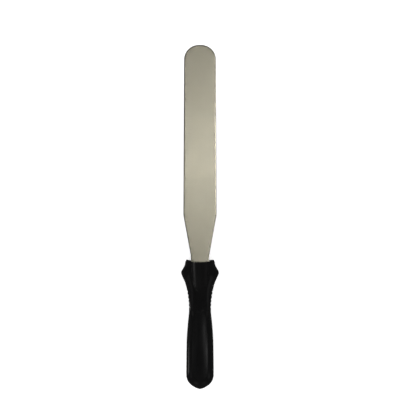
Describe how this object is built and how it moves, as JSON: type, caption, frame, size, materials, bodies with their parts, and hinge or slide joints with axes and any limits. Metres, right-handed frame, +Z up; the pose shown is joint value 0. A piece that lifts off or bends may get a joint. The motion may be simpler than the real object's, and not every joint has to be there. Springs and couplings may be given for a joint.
{
  "type": "straight icing spatula",
  "caption": "Straight icing spatula: long round-tipped flexible ground steel blade whose hidden tang is moulded into a black plastic handle with a flared finger guard.",
  "frame": {"origin": "centre of the bounding box at the table the knife lies on, resting on its finger guard and blade tip", "axes": "+Y from the butt to the blade tip, +X across the blade, +Z up from the table; the knife lies tip down by 2.6 degrees"},
  "size_m": [0.0446, 0.4042, 0.0294],
  "materials": {
    "ground_steel": "satin, fine grinding lines",
    "black_plastic": "moulded gloss"
  },
  "bodies": {
    "root": {"blade": "ground_steel", "handle": "black_plastic"}
  },
  "joints": []
}
